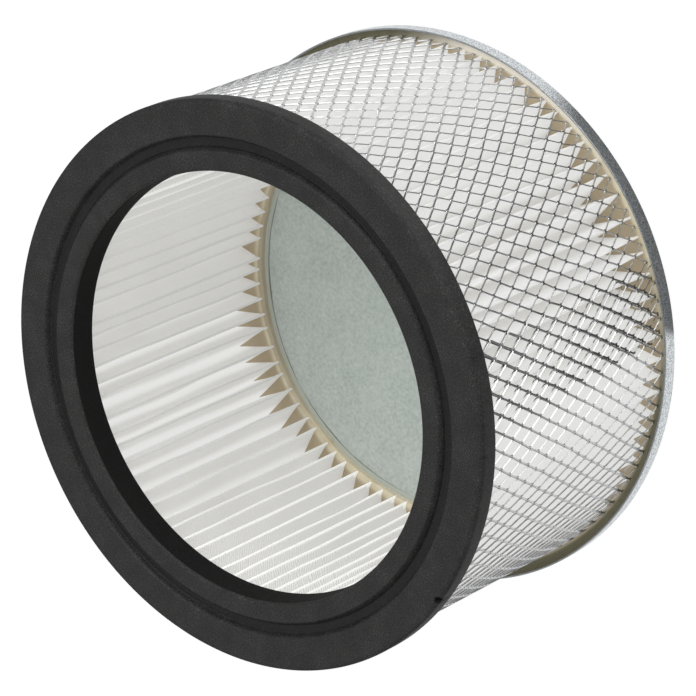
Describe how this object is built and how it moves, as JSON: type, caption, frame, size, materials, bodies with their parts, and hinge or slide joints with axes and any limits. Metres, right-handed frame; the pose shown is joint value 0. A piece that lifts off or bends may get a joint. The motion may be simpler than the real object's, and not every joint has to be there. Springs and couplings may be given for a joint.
{
  "type": "ash vacuum cartridge filter",
  "caption": "Cylindrical pleated cartridge filter: fleece pleats in an expanded-metal sleeve, between a closed steel end cap and an open moulded sealing ring.",
  "frame": {"origin": "centre of the closed end cap's outer face, on which the filter stands", "axes": "+Z along the filter's axis from the closed end to the open ring; -Y is the side that faces the picture's camera"},
  "size_m": [0.158, 0.158, 0.086],
  "materials": {
    "ring_rubber": "matt moulded polyurethane with a fine grain",
    "fleece": "pleated polyester fleece, matt",
    "mesh_steel": "galvanised expanded metal, satin",
    "adhesive": "cast cream adhesive, low sheen",
    "cap_steel": "galvanised sheet, fine spangle"
  },
  "bodies": {
    "root": {"end_ring": "ring_rubber", "pleated_media": "fleece", "mesh_sleeve": "mesh_steel", "potting_adhesive": "adhesive", "end_cap": "cap_steel"}
  },
  "joints": []
}
